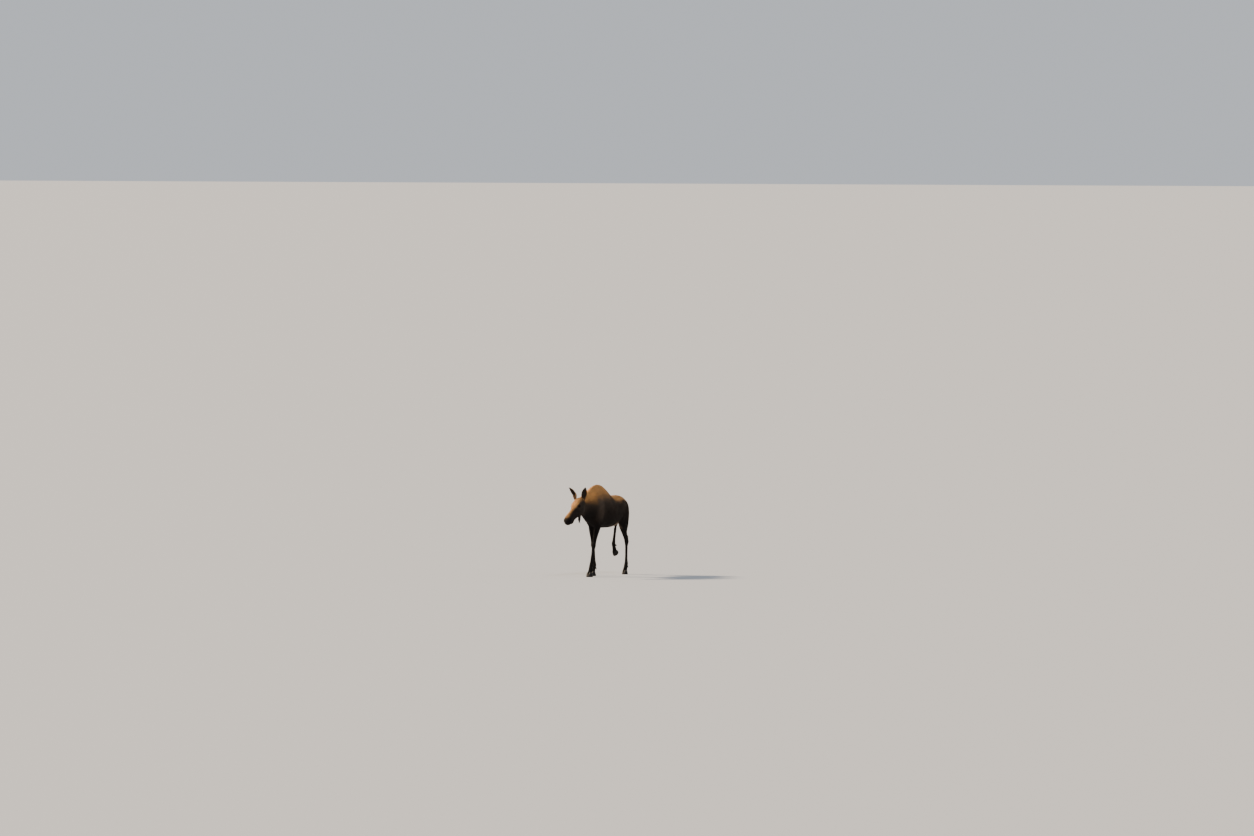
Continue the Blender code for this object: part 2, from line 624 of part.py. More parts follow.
def make_dewclaw(name, side):
    """A small horn cone behind the pastern, pointing down."""
    frame = foot_frame(LIMBS[name])
    sign = 1 if side == "left" else -1
    start = frame @ Vector((-0.012, sign * 0.021, -0.040))
    end = frame @ Vector((-0.028, sign * 0.028, -0.040 - DEWCLAW_LENGTH))
    girth = DEWCLAW_HALF_WIDTH
    bm = bmesh.new()
    run = end - start
    axis = run.normalized()
    side_axis = (Vector((1, 0, 0)) - axis * axis.x).normalized()
    back = side_axis.cross(axis)
    rings = []
    for share, half in ((0, 0.9), (0.5, 1.0), (1.0, 0.42)):
        rings.append(oval(
            start + run * share, side_axis, back, girth * half, girth * half * 1.2, girth * half * 1.2, 2, 2, 6))
    loft(bm, rings)
    bmesh.ops.recalc_face_normals(bm, faces=bm.faces)
    return new_object(horn_name("dewclaw", name, side), bm)


# ---------------------------------------------------------------- parting

def box_cutter(low, high):
    low = Vector(low)
    high = Vector(high)
    matrix = Matrix.Translation((low + high) / 2) @ Matrix.Diagonal((*(high - low), 1))
    bm = bmesh.new()
    bmesh.ops.create_cube(bm, size=1, matrix=matrix)
    return new_object("cutter", bm)


def face_cutter(point, normal, width, depth, height):
    """A box behind a face. The face holds the point, in its middle, and looks along the normal."""
    normal = Vector(normal).normalized()
    side = (Vector((1, 0, 0)) - normal * normal.x).normalized()
    frame = Matrix((side, normal, side.cross(normal))).transposed().to_4x4()
    frame.translation = Vector(point) - normal * depth / 2
    bm = bmesh.new()
    bmesh.ops.create_cube(bm, size=1, matrix=frame @ Matrix.Diagonal((width, depth, height, 1)))
    return new_object("cutter", bm)


def take(body, name, cutter):
    """Moves what the cutter holds from the body into a new piece, and leaves the gap."""
    piece = copy_of(body, name)
    boolean(piece, cutter, "INTERSECT")
    wider = grown_box(cutter)
    boolean(body, wider, "DIFFERENCE")
    discard(wider)
    discard(cutter)
    return piece


def grown_box(cutter):
    """A copy of a box with each of its faces moved out by the gap."""
    twin = copy_of(cutter, "cutter_grown")
    bm = bmesh.new()
    bm.from_mesh(twin.data)
    bm.normal_update()
    offsets = [sum((face.normal for face in vertex.link_faces), Vector()) * GAP for vertex in bm.verts]
    for vertex, offset in zip(bm.verts, offsets):
        vertex.co += offset
    bm.to_mesh(twin.data)
    bm.free()
    return twin


def take_leg(body, name):
    """A leg from its elbow or stifle down, and its cannon and pastern as a second piece."""
    limb = LIMBS[name]
    upper = take(body, name + "_leg", box_cutter(*LEG_BOXES[name]))
    middle = Vector(limb.middle)
    up = (middle - Vector(limb.fetlock)).normalized()
    cut = CANNON_CUT["fore" if name.startswith("fore") else "hind"]
    lower = take(upper, name + "_cannon", face_cutter(middle - up * cut, up, 0.5, 1.2, 0.4))
    return upper, lower


def part_flesh(body):
    """Parts the flesh into head, neck and legs. What stays is the trunk."""
    pieces = {
        "head": take(body, "head", face_cutter(*HEAD_CUT, 1.0, 1.2, 1.4)),
        "neck": take(body, "neck", face_cutter(*NECK_CUT, 1.0, 0.9, 1.3)),
    }
    for name in LIMBS:
        pieces[name], pieces[name + "_cannon"] = take_leg(body, name)
    body.name = "trunk"
    pieces["trunk"] = body
    return pieces


def seat_pieces(pieces):
    """Makes the pieces of their own and lets each meet the flesh across the gap."""
    seated = []
    for side in ("left", "right"):
        eye = make_eye(side)
        cut_back(pieces["head"], eye)
        ear = make_ear(side)
        cut_back(ear, pieces["head"])
        cut_back(ear, pieces["neck"])
        seated += [eye, ear]
    bell = make_bell()
    cut_back(bell, pieces["head"])
    cut_back(bell, pieces["neck"])
    tail = make_tail()
    cut_back(tail, pieces["trunk"])
    seated += [bell, tail]
    for name in LIMBS:
        for side in ("left", "right"):
            for make in (make_claw, make_dewclaw):
                horn = make(name, side)
                cut_back(horn, pieces[name + "_cannon"])
                seated.append(horn)
    return seated


# ---------------------------------------------------------------- finish

def finish_of(name):
    for word, finish in (("eye", "eye"), ("claw", "horn"), ("ear_", "ear")):
        if word in name:
            return finish
    return "coat"


def settle(things):
    """Puts the middle of the whole at the origin, with the soles on the floor, and shades it."""
    corners = [vertex.co for thing in things for vertex in thing.data.vertices]
    low_x, high_x = min(c.x for c in corners), max(c.x for c in corners)
    low_y, high_y = min(c.y for c in corners), max(c.y for c in corners)
    floor = min(c.z for c in corners)
    shift = Matrix.Translation((-(low_x + high_x) / 2, -(low_y + high_y) / 2, -floor))
    for thing in things:
        thing.data.transform(shift)
        thing.data.materials.clear()
        thing.data.materials.append(finish_material(finish_of(thing.name)))
        thing.data.shade_smooth()
        thing.data.set_sharp_from_angle(angle=math.radians(50))


def main():
    clear_scene()
    pieces = part_flesh(make_flesh())
    settle([*pieces.values(), *seat_pieces(pieces)])


main()
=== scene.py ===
"""A cow moose at life size, in a slow wading stride, on a plain pale floor.

One skin lies inside the solids by the depth of the coat. Over it lie tufts of hair, joined
into meshes. Skin and tufts take their colour, length and lie from the same fields.
"""

import math

import bmesh
import bpy
import numpy as np
from mathutils import Matrix, Vector
from mathutils.bvhtree import BVHTree


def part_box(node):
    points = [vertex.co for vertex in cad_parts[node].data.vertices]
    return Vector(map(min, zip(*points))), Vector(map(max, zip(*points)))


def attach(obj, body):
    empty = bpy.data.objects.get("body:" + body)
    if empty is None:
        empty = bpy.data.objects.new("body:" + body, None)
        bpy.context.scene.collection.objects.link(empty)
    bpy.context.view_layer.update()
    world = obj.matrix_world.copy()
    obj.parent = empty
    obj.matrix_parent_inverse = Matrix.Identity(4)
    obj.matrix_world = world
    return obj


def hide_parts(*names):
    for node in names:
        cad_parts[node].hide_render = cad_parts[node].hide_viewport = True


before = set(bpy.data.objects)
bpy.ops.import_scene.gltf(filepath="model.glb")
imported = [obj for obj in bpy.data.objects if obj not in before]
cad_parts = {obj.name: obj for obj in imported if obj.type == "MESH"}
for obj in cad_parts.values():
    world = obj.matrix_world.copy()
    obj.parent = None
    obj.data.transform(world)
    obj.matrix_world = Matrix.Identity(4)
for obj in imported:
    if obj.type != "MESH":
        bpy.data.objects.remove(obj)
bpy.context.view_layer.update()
rng = np.random.default_rng(11)

LIMBS = ("fore_left", "fore_right", "hind_left", "hind_right")
FLESH = ["trunk", "neck", "head", "bell", "tail", "ear_left", "ear_right"]
FLESH += [limb + part for limb in LIMBS for part in ("_leg", "_cannon")]
REGION = {name: k for k, name in enumerate(FLESH)}

SKIN_GRAIN = 0.0055         # voxels in which the pieces of flesh become one skin
SKIN_TRIANGLES = 118000
SEAM_COVER = 0.0006         # by which the pieces overlap before they are joined
THIN_COVER = 0.0020         # the same for the ears, whose rims are thinner than a voxel
SAME_POINT = 0.0001         # corners closer than this are merged in copies of the solids

# The head's frame: along runs from the poll to the nose.
HEAD_PITCH = math.radians(44.5)
HEAD_TURN = math.radians(13)
HEAD_ROLL = math.radians(4)
EYE_ALONG = 0.158
EYE_UP = -0.062
EYE_RADIUS = 0.0222
EYE_SUNK = 0.003            # deeper in the socket than the solid's eye


# ---------------------------------------------------------------- small tools

def unit(v):
    """Rows scaled to length one."""
    return v / np.maximum(np.linalg.norm(v, axis=-1, keepdims=True), 1e-9)


def smooth(low, high, x):
    """0 below low, 1 above high, and a soft step between."""
    t = np.clip((x - low) / (high - low), 0, 1)
    return t * t * (3 - 2 * t)


def mix(a, b, t):
    """From a, where t is 0, to b, where t is 1. One t for each row."""
    t = np.asarray(t)
    if np.ndim(a) and np.ndim(t):
        t = t[:, None]
    return a + (np.asarray(b) - a) * t


def wander(p, scale, seed):
    """A soft noise from -1 to 1, made of a few waves."""
    phase = np.random.default_rng(seed)
    total = np.zeros(len(p))
    for _ in range(16):
        wave = phase.normal(size=3) * phase.uniform(0.5, 1.6) / scale
        total += np.sin(p @ wave + phase.uniform(0, math.tau))
    return total / 5.5


def centre_of(node):
    """Middle of a solid's box."""
    low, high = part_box(node)
    return (np.array(low) + np.array(high)) / 2


def read_points(mesh):
    points = np.empty(len(mesh.vertices) * 3)
    mesh.vertices.foreach_get("co", points)
    return points.reshape(-1, 3)


def read_normals(mesh):
    normals = np.empty(len(mesh.vertices) * 3)
    mesh.vertices.foreach_get("normal", normals)
    return normals.reshape(-1, 3)


def write_points(mesh, points):
    mesh.vertices.foreach_set("co", points.astype(np.float32).ravel())
    mesh.update()


def read_edges(mesh):
    edges = np.empty(len(mesh.edges) * 2, dtype=np.int32)
    mesh.edges.foreach_get("vertices", edges)
    return edges.reshape(-1, 2)


def spread(edges, values, rounds, strength=0.5, keep=None):
    """Evens values out over the mesh: each point moves towards the mean of its neighbours."""
    count = len(values)
    a, b = edges[:, 0], edges[:, 1]
    degree = np.maximum(np.bincount(a, minlength=count) + np.bincount(b, minlength=count), 1)
    values = values.copy()
    flat = values.reshape(count, -1)
    for turn in range(rounds):
        step = strength[turn % len(strength)] if np.ndim(strength) else strength
        for column in range(flat.shape[1]):
            v = flat[:, column]
            total = np.bincount(a, weights=v[b], minlength=count)
            total = total + np.bincount(b, weights=v[a], minlength=count)
            change = (total / degree - v) * step
            flat[:, column] = v + (change if keep is None else change * keep)
    return values


def apply_modifiers(thing):
    bpy.ops.object.select_all(action="DESELECT")
    thing.select_set(True)
    bpy.context.view_layer.objects.active = thing
    for modifier in list(thing.modifiers):
        bpy.ops.object.modifier_apply(modifier=modifier.name)


def mesh_object(name, points, triangles):
    """A smooth object from arrays of points and triangles."""
    mesh = bpy.data.meshes.new(name)
    corners = triangles.ravel().astype(np.int32)
    starts = np.arange(0, len(corners), 3, dtype=np.int32)
    mesh.vertices.add(len(points))
    mesh.vertices.foreach_set("co", points.astype(np.float32).ravel())
    mesh.loops.add(len(corners))
    mesh.loops.foreach_set("vertex_index", corners)
    mesh.polygons.add(len(starts))
    mesh.polygons.foreach_set("loop_start", starts)
    mesh.update(calc_edges=True)
    mesh.validate()
    mesh.shade_smooth()
    thing = bpy.data.objects.new(name, mesh)
    bpy.context.scene.collection.objects.link(thing)
    return thing


# ---------------------------------------------------------------- frames

def make_head_frame():
    """Rows: along, out to the animal's left, up. The second value is the poll."""
    level = Vector((-math.sin(HEAD_TURN), -math.cos(HEAD_TURN), 0))
    along = level * math.cos(HEAD_PITCH) - Vector((0, 0, math.sin(HEAD_PITCH)))
    up = level * math.sin(HEAD_PITCH) + Vector((0, 0, math.cos(HEAD_PITCH)))
    out = up.cross(along)
    if out.x < 0:
        out.negate()
    roll = Matrix.Rotation(HEAD_ROLL, 3, along)
    axes = np.array([along, roll @ out, roll @ up])
    between_eyes = (centre_of("eye_left") + centre_of("eye_right")) / 2
    return axes, between_eyes - axes[0] * EYE_ALONG - axes[2] * EYE_UP


HEAD_AXES, POLL = make_head_frame()


def to_head(points):
    """World points as (along, out, up)."""
    return (points - POLL) @ HEAD_AXES.T


def from_head(local):
    """The way back from to_head."""
    return POLL + np.asarray(local) @ HEAD_AXES


def ear_axis(side):
    """Root and tip of an ear, from the ends of its solid."""
    points = read_points(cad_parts["ear_" + side].data)
    tip = points[np.argmax(points[:, 2])]
    root = points[points[:, 2] < points[:, 2].min() + 0.02].mean(axis=0)
    return root, tip


SIDES = ("left", "right")
EARS = {side: ear_axis(side) for side in SIDES}
EAR_FACING = {"left": (0.55, -0.83, 0.05), "right": (-0.42, -0.88, -0.28)}     # way the hollow faces
CLAWS = [centre_of(name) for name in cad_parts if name.startswith("claw_")]
DEWCLAWS = [centre_of(name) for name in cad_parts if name.startswith("dewclaw_")]
HIP_Y = centre_of("hind_left_leg")[1]


# ---------------------------------------------------------------- skin

def join_flesh():
    """The pieces of flesh as one mesh, each grown a little so that the gaps close.

    The solid eyes fill their sockets. The last value is the region that each face belongs to.
    """
    points, faces, owner = [], [], []
    start = 0
    for name in FLESH + ["eye_left", "eye_right"]:
        bm = bmesh.new()
        bm.from_mesh(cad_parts[name].data)
        bmesh.ops.remove_doubles(bm, verts=bm.verts, dist=SAME_POINT)
        bmesh.ops.triangulate(bm, faces=bm.faces)
        bm.normal_update()
        bm.verts.ensure_lookup_table()
        cover = THIN_COVER if name.startswith("ear_") else SEAM_COVER
        points += [v.co + v.normal * cover for v in bm.verts]
        faces += [[start + v.index for v in f.verts] for f in bm.faces]
        owner += [REGION[name if name in REGION else "head"]] * len(bm.faces)
        start += len(bm.verts)
        bm.free()
    return np.array(points), np.array(faces), np.array(owner)


def make_skin():
    """One closed, even skin over all the flesh, with what it takes to tell a point's region."""
    points, faces, owner = join_flesh()
    tree = BVHTree.FromPolygons([Vector(p) for p in points], faces.tolist())
    skin = mesh_object("skin", points, faces)
    remesh = skin.modifiers.new("one skin", "REMESH")
    remesh.mode = "VOXEL"
    remesh.voxel_size = SKIN_GRAIN * 1
    apply_modifiers(skin)
    region = region_of(read_points(skin.data), tree, owner)
    even_out(skin, region)
    thin = skin.modifiers.new("fewer faces", "DECIMATE")
    thin.ratio = min(1, SKIN_TRIANGLES * 1 / (2 * len(skin.data.polygons)))
    apply_modifiers(skin)
    return skin, tree, owner


def region_of(points, tree, owner):
    """Number of the piece of flesh that lies nearest to every point."""
    found = [tree.find_nearest(Vector(p))[2] for p in points]
    return owner[np.array(found)]


def is_in(region, *words):
    """Which points lie in a piece whose name holds one of the words."""
    chosen = [k for name, k in REGION.items() if any(word in name for word in words)]
    return np.isin(region, chosen)


def even_out(skin, region):
    """Takes the facets out, most on the large forms, with little loss of girth."""
    points = read_points(skin.data)
    edges = read_edges(skin.data)
    amount = np.full(len(points), 1.0)
    amount[is_in(region, "head")] = 0.55
    amount[is_in(region, "ear")] = 0.16
    amount[is_in(region, "cannon")] = 0.55
    amount = spread(edges, amount, 8)
    rounds = 44
    write_points(skin.data, spread(edges, points, rounds, strength=(0.55, -0.42), keep=amount))


# ---------------------------------------------------------------- fields of the coat
# Every smooth(...) below marks out a stretch of the body: x, y and z are metres in the world, along,
# out and up are metres in the head's frame, and n is the way the skin faces.

DARK = np.array((0.0100, 0.0076, 0.0068))
BROWN = np.array((0.026, 0.0185, 0.0142))
GREY_BROWN = np.array((0.070, 0.052, 0.040))
TAN = np.array((0.380, 0.205, 0.092))
# pale gold hair, made bright enough to stand in for sunlight where it is laid on the faces that turn up:
# partly painted light
GOLD_AND_PAINTED_SUN = np.array((0.740, 0.375, 0.130))
PALE = np.array((0.400, 0.295, 0.210))
BAND_Y = -0.24              # middle of the paler band behind the shoulder


def distance_to(p, spots):
    """Distance of every point from the nearest of the spots."""
    return np.min([np.linalg.norm(p - spot, axis=1) for spot in spots], axis=0)


def coat_fields(p, n, region):
    """Depth, length, width and lift of the tufts, their lie and their colour, at points of the skin."""
    count = len(p)
    x, y, z = p.T
    side = np.abs(n[:, 0])
    ridge = smooth(0.25, 0.85, n[:, 2])
    local = to_head(p)
    along, out, up = local.T
    leg = is_in(region, "_leg")
    cannon = is_in(region, "cannon")
    head = is_in(region, "head")
    neck = is_in(region, "neck")
    ear = is_in(region, "ear_")
    bell = is_in(region, "bell")
    tail = is_in(region, "tail")

    hump = smooth(1.45, 1.75, z) * ridge
    depth = 0.0095 + 0.0045 * hump
    length = 0.044 + 0.026 * hump
    width = np.full(count, 0.0049)
    lift = 0.42 + 0.12 * hump
    lie = np.stack([np.zeros(count), np.ones(count), -0.15 - 0.75 * side * smooth(1.65, 1.2, z)], axis=1)
    # the rump's hair falls, and the breast's runs down to the legs
    rump = smooth(HIP_Y - 0.05, HIP_Y + 0.30, y)
    lie = mix(lie, np.array((0, 0.35, -1.0)), rump * 0.9)
    breast = smooth(-0.15, -0.45, y) * smooth(1.30, 1.10, z)
    lie = mix(lie, np.array((0, 0.35, -1.0)), breast * 0.8)

    depth = np.where(neck, 0.0115 + 0.0045 * ridge, depth)
    length = np.where(neck, 0.052 + 0.026 * ridge, length)
    lie[neck] = np.stack([
        np.zeros(count), np.full(count, 0.85), -0.25 - 0.75 * side], axis=1)[neck]

    fall = smooth(1.10, 0.65, z)
    depth = np.where(leg, 0.0085 - 0.0045 * fall, depth)
    length = np.where(leg, 0.038 - 0.018 * fall, length)
    width = np.where(leg, 0.0052 - 0.0012 * fall, width)
    lie[leg] = (0, 0.22, -1.0)
    coronet = np.maximum(
        smooth(0.100, 0.070, distance_to(p, CLAWS)), smooth(0.055, 0.035, distance_to(p, DEWCLAWS)))
    depth = np.where(cannon, 0.0032, depth)
    length = np.where(cannon, 0.018 + 0.012 * coronet, length)
    width = np.where(cannon, 0.0038, width)
    lie[cannon] = (0, 0.16, -1.0)
    lift = np.where(cannon, 0.35, lift)

    muzzle = smooth(0.40, 0.53, along)
    cheek = smooth(-0.10, -0.20, up) * smooth(0.34, 0.20, along)
    ring = distance_to(p, EYE_CENTRES)
    around_eye = smooth(0.052, 0.034, ring)
    depth = np.where(head, 0.0042 + 0.0045 * cheek - 0.0027 * muzzle - 0.0022 * around_eye, depth)
    length = np.where(head, (0.0170 + 0.016 * cheek - 0.0105 * muzzle) * (1 - 0.45 * around_eye), length)
    width = np.where(head, (0.0034 + 0.0010 * cheek - 0.0012 * muzzle) * (1 - 0.25 * around_eye), width)
    lift = np.where(head, 0.35 - 0.20 * muzzle, lift)
    brow = np.stack([np.full(count, -1.0), 0.25 * np.sign(out), -0.30 - 0.45 * cheek], axis=1) @ HEAD_AXES
    for eye in EYE_CENTRES:
        away = unit(p - eye)
        close = smooth(0.060, 0.030, np.linalg.norm(p - eye, axis=1))
        brow = brow + away * (2.2 * close)[:, None]
    lie[head] = brow[head]

    for name, (root, tip) in EARS.items():
        here = region == REGION["ear_" + name]
        lie[here] = tip - root
        reach = np.clip((p - root) @ (tip - root) / np.sum((tip - root) ** 2), 0, 1)
        length = np.where(here, 0.0165 - 0.006 * reach, length)
    depth = np.where(ear, 0.0020, depth)
    width = np.where(ear, 0.0031, width)
    lift = np.where(ear, 0.35, lift)
    depth = np.where(bell, 0.006, depth)
    length = np.where(bell, 0.056, length)
    width = np.where(bell, 0.0046, width)
    lie[bell] = (0, 0.05, -1.0)
    depth = np.where(tail, 0.0045, depth)
    length = np.where(tail, 0.034, length)
    width = np.where(tail, 0.0044, width)
    lie[tail] = (0, 0.10, -1.0)

    colour = coat_colour(p, n, region, local)
    return {
        "depth": depth, "length": length, "width": width, "lift": lift, "lie": unit(lie), "colour": colour}


def coat_colour(p, n, region, local):
    """Markings of the animal, for the skin and the tufts alike."""
    x, y, z = p.T
    along, out, up = local.T
    patch = wander(p, 0.11, 3)
    fine = wander(p, 0.035, 5)
    dark = np.tile(DARK, (len(p), 1))
    body = mix(dark, BROWN, smooth(1.06, 1.36, z + 0.04 * patch))
    body = mix(body, GREY_BROWN, smooth(1.26, 1.56, z + 0.05 * patch) * 0.80)
    # a paler band runs down behind the shoulder
    band = np.exp(-((y - BAND_Y + 0.02 * patch) / 0.105) ** 2) * smooth(1.04, 1.30, z + 0.03 * fine)
    body = mix(body, GREY_BROWN * 1.45, band * 0.80)
    # the back line, hump and crest: paler tan and gold hair, laid on most where the skin faces up, so that
    # part of it is painted sunlight on the tops
    back = smooth(0.38, 0.82, n[:, 2] + 0.10 * fine) * smooth(1.42, 1.54, z)
    hump = smooth(1.48, 1.68, z + 0.02 * patch) * smooth(0.45, 0.05, y)
    body = mix(body, TAN, np.maximum(back * 0.95, hump * 0.80))
    # gold on the upward faces of the back and hump is painted sunlight over their paler hair
    body = mix(body, GOLD_AND_PAINTED_SUN, smooth(0.25, 0.65, n[:, 2]) * np.maximum(hump * 0.90, back * 0.75))
    # the rump is brown above and dark down the back of the thigh
    body = mix(body, DARK * 1.4, smooth(HIP_Y + 0.12, HIP_Y + 0.30, y) * smooth(1.40, 1.20, z) * 0.7)
    neck = is_in(region, "neck")
    # the crest turns gold where the neck faces up: paler mane hair, brightened as painted sunlight
    crest = smooth(0.10, 0.60, n[:, 2] + 0.08 * patch)
    side_of_neck = mix(dark * 1.4, GREY_BROWN * 0.85, smooth(1.22, 1.54, z + 0.03 * patch))
    body[neck] = mix(side_of_neck, GOLD_AND_PAINTED_SUN * 0.95, crest)[neck]
    # pale hair between the thighs, under the rear of the belly and in front of the thigh; the patch in front
    # of the thigh is stronger on the animal's left, which is partly painted light
    groin = smooth(0.44, 0.62, y) * smooth(0.11, 0.05, x) * smooth(-0.19, -0.14, x)
    groin = groin * smooth(1.11, 1.03, z + 0.01 * fine) * smooth(0.925, 0.965, z + 0.01 * fine)
    inward = smooth(0.0, 0.5, n[:, 0]) + smooth(-0.2, -0.7, n[:, 2]) + smooth(-0.1, -0.6, n[:, 1])
    groin = groin * np.clip(inward, 0, 1) * smooth(0.86, 0.70, y)
    belly = smooth(0.24, 0.50, y) * smooth(0.20, 0.10, np.abs(x))
    belly = belly * smooth(1.06, 0.99, z) * smooth(-0.2, -0.8, n[:, 2])
    flank = smooth(0.38, 0.50, y + 0.02 * fine) * smooth(0.68, 0.60, y)
    # full strength on the animal's left only: painted light on the pale hair of the flank fold
    flank = flank * smooth(1.085, 1.02, z + 0.012 * fine) * np.where(x > 0, 1.0, 0.35)
    groin = np.maximum(groin, np.maximum(belly * 0.8, flank) * smooth(0.91, 0.97, z + 0.012 * fine))
    body = mix(body, PALE * 1.15, groin * 0.85)
    leg = is_in(region, "_leg")
    limb = mix(dark, BROWN * 0.9, smooth(1.00, 1.22, z) * 0.6)
    limb = mix(limb, PALE, groin * 0.85)
    body[leg] = limb[leg]
    cannon = is_in(region, "cannon")
    inner = smooth(0.2, 0.8, -n[:, 0] * np.sign(x))
    body[cannon] = mix(dark * 1.15, GREY_BROWN * 0.6, inner * 0.30)[cannon]
    body[is_in(region, "hind_right_cannon")] = DARK

    head = is_in(region, "head")
    face = mix(np.tile(GREY_BROWN * 0.55, (len(p), 1)), DARK * 1.6, smooth(0.14, 0.30, along) * 0.7)
    # the top of the face and the poll are lighter brown hair, made paler where they face up: partly painted
    # sunlight
    top = smooth(-0.052, -0.004, up + 0.007 * fine) * smooth(0.56, 0.47, along)
    crown = smooth(0.10, 0.55, n @ HEAD_AXES[2]) * smooth(0.13, 0.06, along)
    top = np.maximum(top, crown)
    face = mix(face, TAN, top * (0.55 + 0.35 * smooth(0.20, 0.32, along)))
    # gold where the face turns up is painted sunlight on its lighter top
    face = mix(face, GOLD_AND_PAINTED_SUN, smooth(0.4, 0.9, n @ HEAD_AXES[2]) * top * 0.8)
    face = mix(face, DARK * 0.85, smooth(0.44, 0.52, along - 0.10 * smooth(-0.05, 0.0, up)))
    ring = distance_to(p, EYE_CENTRES)
    face = mix(face, DARK * 0.9, smooth(0.036, 0.026, ring) * 0.85)
    face = mix(face, GREY_BROWN, smooth(-0.17, -0.23, up) * smooth(0.34, 0.22, along) * 0.4)
    body[head] = face[head]

    for name, (root, tip) in EARS.items():
        here = region == REGION["ear_" + name]
        facing = np.array(EAR_FACING[name])
        # the hollow of each ear is painted near black, which is painted shade inside the hollow
        inside = smooth(0.22, 0.60, n @ facing)
        colour = mix(np.tile(TAN * 0.85, (len(p), 1)), DARK * 1.9, inside * 0.95)
        body[here] = colour[here]
    body[is_in(region, "bell")] = DARK * 1.4
    body[is_in(region, "tail")] = BROWN * 0.9
    return np.clip(body * (1 + 0.10 * patch[:, None] + 0.07 * fine[:, None]), 0.003, 1)


def even_fields(skin, region):
    """The fields at the skin's points, evened out so that one region runs into the next."""
    p = read_points(skin.data)
    n = read_normals(skin.data)
    edges = read_edges(skin.data)
    fields = coat_fields(p, n, region)
    keep = np.where(is_in(region, "ear_"), 0.10, np.where(is_in(region, "bell", "tail"), 0.4, 1.0))
    for name, rounds in (("depth", 70), ("length", 90), ("width", 70), ("lift", 40), ("lie", 70)):
        fields[name] = spread(edges, fields[name], rounds, keep=keep)
    fields["colour"] = spread(edges, fields["colour"], 5)
    lie = fields["lie"]
    fields["lie"] = unit(lie - n * np.sum(lie * n, axis=1, keepdims=True))
    return fields


# ---------------------------------------------------------------- folds of the head

def refine(skin, spots, longest):
    """Halves the edges near the spots that are longer than this, and evens the new ones out."""
    points = read_points(skin.data)
    edges = read_edges(skin.data)
    ends = points[edges]
    middle = ends.mean(axis=1)
    length = np.linalg.norm(ends[:, 0] - ends[:, 1], axis=1)
    near = np.min([np.linalg.norm(middle - spot, axis=1) / reach for spot, reach in spots], axis=0)
    bm = bmesh.new()
    bm.from_mesh(skin.data)
    bm.edges.ensure_lookup_table()
    chosen = [bm.edges[k] for k in np.flatnonzero((near < 1) & (length > longest))]
    bmesh.ops.subdivide_edges(bm, edges=chosen, cuts=1, use_grid_fill=True)
    bmesh.ops.triangulate(bm, faces=[f for f in bm.faces if len(f.verts) > 3])
    bm.to_mesh(skin.data)
    bm.free()
    skin.data.update()
    points = read_points(skin.data)
    near = np.min([np.linalg.norm(points - spot, axis=1) / reach for spot, reach in spots], axis=0)
    even = spread(read_edges(skin.data), points, 4, strength=(0.5, -0.45), keep=smooth(1.1, 0.9, near))
    write_points(skin.data, even)


def refine_head(skin):
    """Smaller faces round the eyes, nostrils and mouth, where the folds need them."""
    nostrils = [from_head((NOSTRIL[0], sign * NOSTRIL[1], NOSTRIL[2])) for sign in (1, -1)]
    lips = [from_head((0.48, sign * 0.050, -0.165)) for sign in (1, -1)]
    for eye_reach, nostril_reach, lip_reach, longest in REFINING:
        spots = [(spot, eye_reach) for spot in EYE_CENTRES]
        spots += [(spot, nostril_reach) for spot in nostrils if nostril_reach]
        spots += [(spot, lip_reach) for spot in lips if lip_reach]
        refine(skin, spots, longest)


# reach round the eyes, nostrils and lips, and longest edge left there
REFINING = (
    (0.050, 0.060, 0.085, 0.0046),
    (0.044, 0.050, 0.080, 0.0030),
    (0.034, 0.034, None, 0.0020),
    (0.029, None, None, 0.0013),
)
APERTURE = (0.0180, 0.0112, 0.0092)     # the eye's opening: half length, height above, depth below
LID = 0.0027                            # thickness of a lid
NOSTRIL = (0.560, 0.054, -0.078)        # along, out, up in the head's frame


def eye_frame(side):
    """Rows: towards the nose, up the lid, out of the eye."""
    sign = 1 if side == "left" else -1
    out = unit(np.array((0.26, 0.93 * sign, 0.20)))
    front = np.array((0.97, 0, 0.08))
    front = unit(front - out * (front @ out))
    up = np.cross(out, front) * sign
    if up[2] < 0:
        up = -up
    return np.array([front, up, out]) @ HEAD_AXES


def eye_centre(side):
    """Middle of an eyeball."""
    return centre_of("eye_" + side) - eye_frame(side)[2] * EYE_SUNK


EYE_CENTRES = [eye_centre(side) for side in SIDES]


def lid_share(x, y):
    """1 on the edge of the eye's opening, less inside and more outside. The corners are drawn out."""
    tall = np.where(y > 0, APERTURE[1], APERTURE[2])
    return ((np.abs(x) / APERTURE[0]) ** 1.7 + (np.abs(y) / tall) ** 1.7) ** (1 / 1.7)


def set_lids(p, side):
    """Wraps the skin over the eyeball, with an almond opening and rounded lids."""
    centre = eye_centre(side)
    axes = eye_frame(side)
    local = (p - centre) @ axes.T
    x, y, z = local.T
    here = (np.linalg.norm(local, axis=1) < 0.062) & (z > -0.012)
    share = np.maximum(lid_share(x, y), 1e-4)
    # points just inside the opening are drawn out to its edge
    drawn = np.where((share > 0.78) & (share <= 1.0), 1 - (1 - share) * 0.08, share)
    x2 = x * drawn / share
    y2 = y * drawn / share
    flat = np.minimum(x2 ** 2 + y2 ** 2, (0.94 * EYE_RADIUS) ** 2)
    ball = np.sqrt(EYE_RADIUS ** 2 - flat)
    thick = 0.0004 + (LID - 0.0004) * smooth(1.0, 1.20, drawn)
    lid = np.sqrt((EYE_RADIUS + thick) ** 2 - flat)
    crease = 0.0019 * np.exp(-((share - 1.72) / 0.13) ** 2) * np.where(y > 0, 1.0, 0.6)
    hold = smooth(2.7, 1.30, share)
    z2 = z + (lid - crease - z) * hold
    z2 = np.where(drawn < 0.97, ball - 0.004, z2)
    moved = np.stack([x2, y2, z2], axis=1)
    p = p.copy()
    p[here] = (centre + moved @ axes)[here]
    return p


